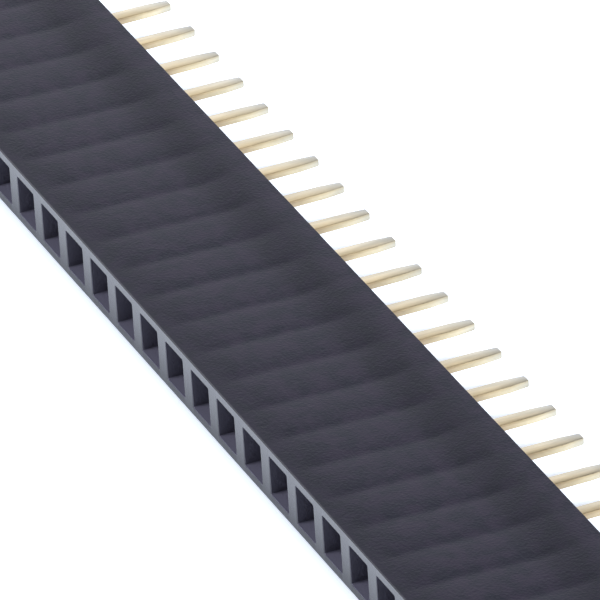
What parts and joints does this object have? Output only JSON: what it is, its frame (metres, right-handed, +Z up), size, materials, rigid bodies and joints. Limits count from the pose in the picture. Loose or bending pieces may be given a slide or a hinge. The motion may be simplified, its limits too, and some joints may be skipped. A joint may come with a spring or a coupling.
{
  "type": "female pin header strip",
  "caption": "Straight header strip: a black moulded housing with a row of square sockets, each holding a folded spring contact whose flat gold tail is soldered into a board.",
  "frame": {"origin": "on the surface that the strip lies on, below the middle of its whole box, tails included", "axes": "+X along the row, +Y from the mating face to the tails, +Z up out of the wide side that faces up"},
  "size_m": [0.1016, 0.0116, 0.0025],
  "materials": {
    "housing_plastic": "fine moulded matt",
    "contact_metal": "thin gold plating, satin"
  },
  "bodies": {
    "root": {"housing": "housing_plastic", "contact_01": "contact_metal", "contact_02": "contact_metal", "contact_03": "contact_metal", "contact_04": "contact_metal", "contact_05": "contact_metal", "contact_06": "contact_metal", "contact_07": "contact_metal", "contact_08": "contact_metal", "contact_09": "contact_metal", "contact_10": "contact_metal", "contact_11": "contact_metal", "contact_12": "contact_metal", "contact_13": "contact_metal", "contact_14": "contact_metal", "contact_15": "contact_metal", "contact_16": "contact_metal", "contact_17": "contact_metal", "contact_18": "contact_metal", "contact_19": "contact_metal", "contact_20": "contact_metal", "contact_21": "contact_metal", "contact_22": "contact_metal", "contact_23": "contact_metal", "contact_24": "contact_metal", "contact_25": "contact_metal", "contact_26": "contact_metal", "contact_27": "contact_metal", "contact_28": "contact_metal", "contact_29": "contact_metal", "contact_30": "contact_metal", "contact_31": "contact_metal", "contact_32": "contact_metal", "contact_33": "contact_metal", "contact_34": "contact_metal", "contact_35": "contact_metal", "contact_36": "contact_metal", "contact_37": "contact_metal", "contact_38": "contact_metal", "contact_39": "contact_metal", "contact_40": "contact_metal"}
  },
  "joints": []
}
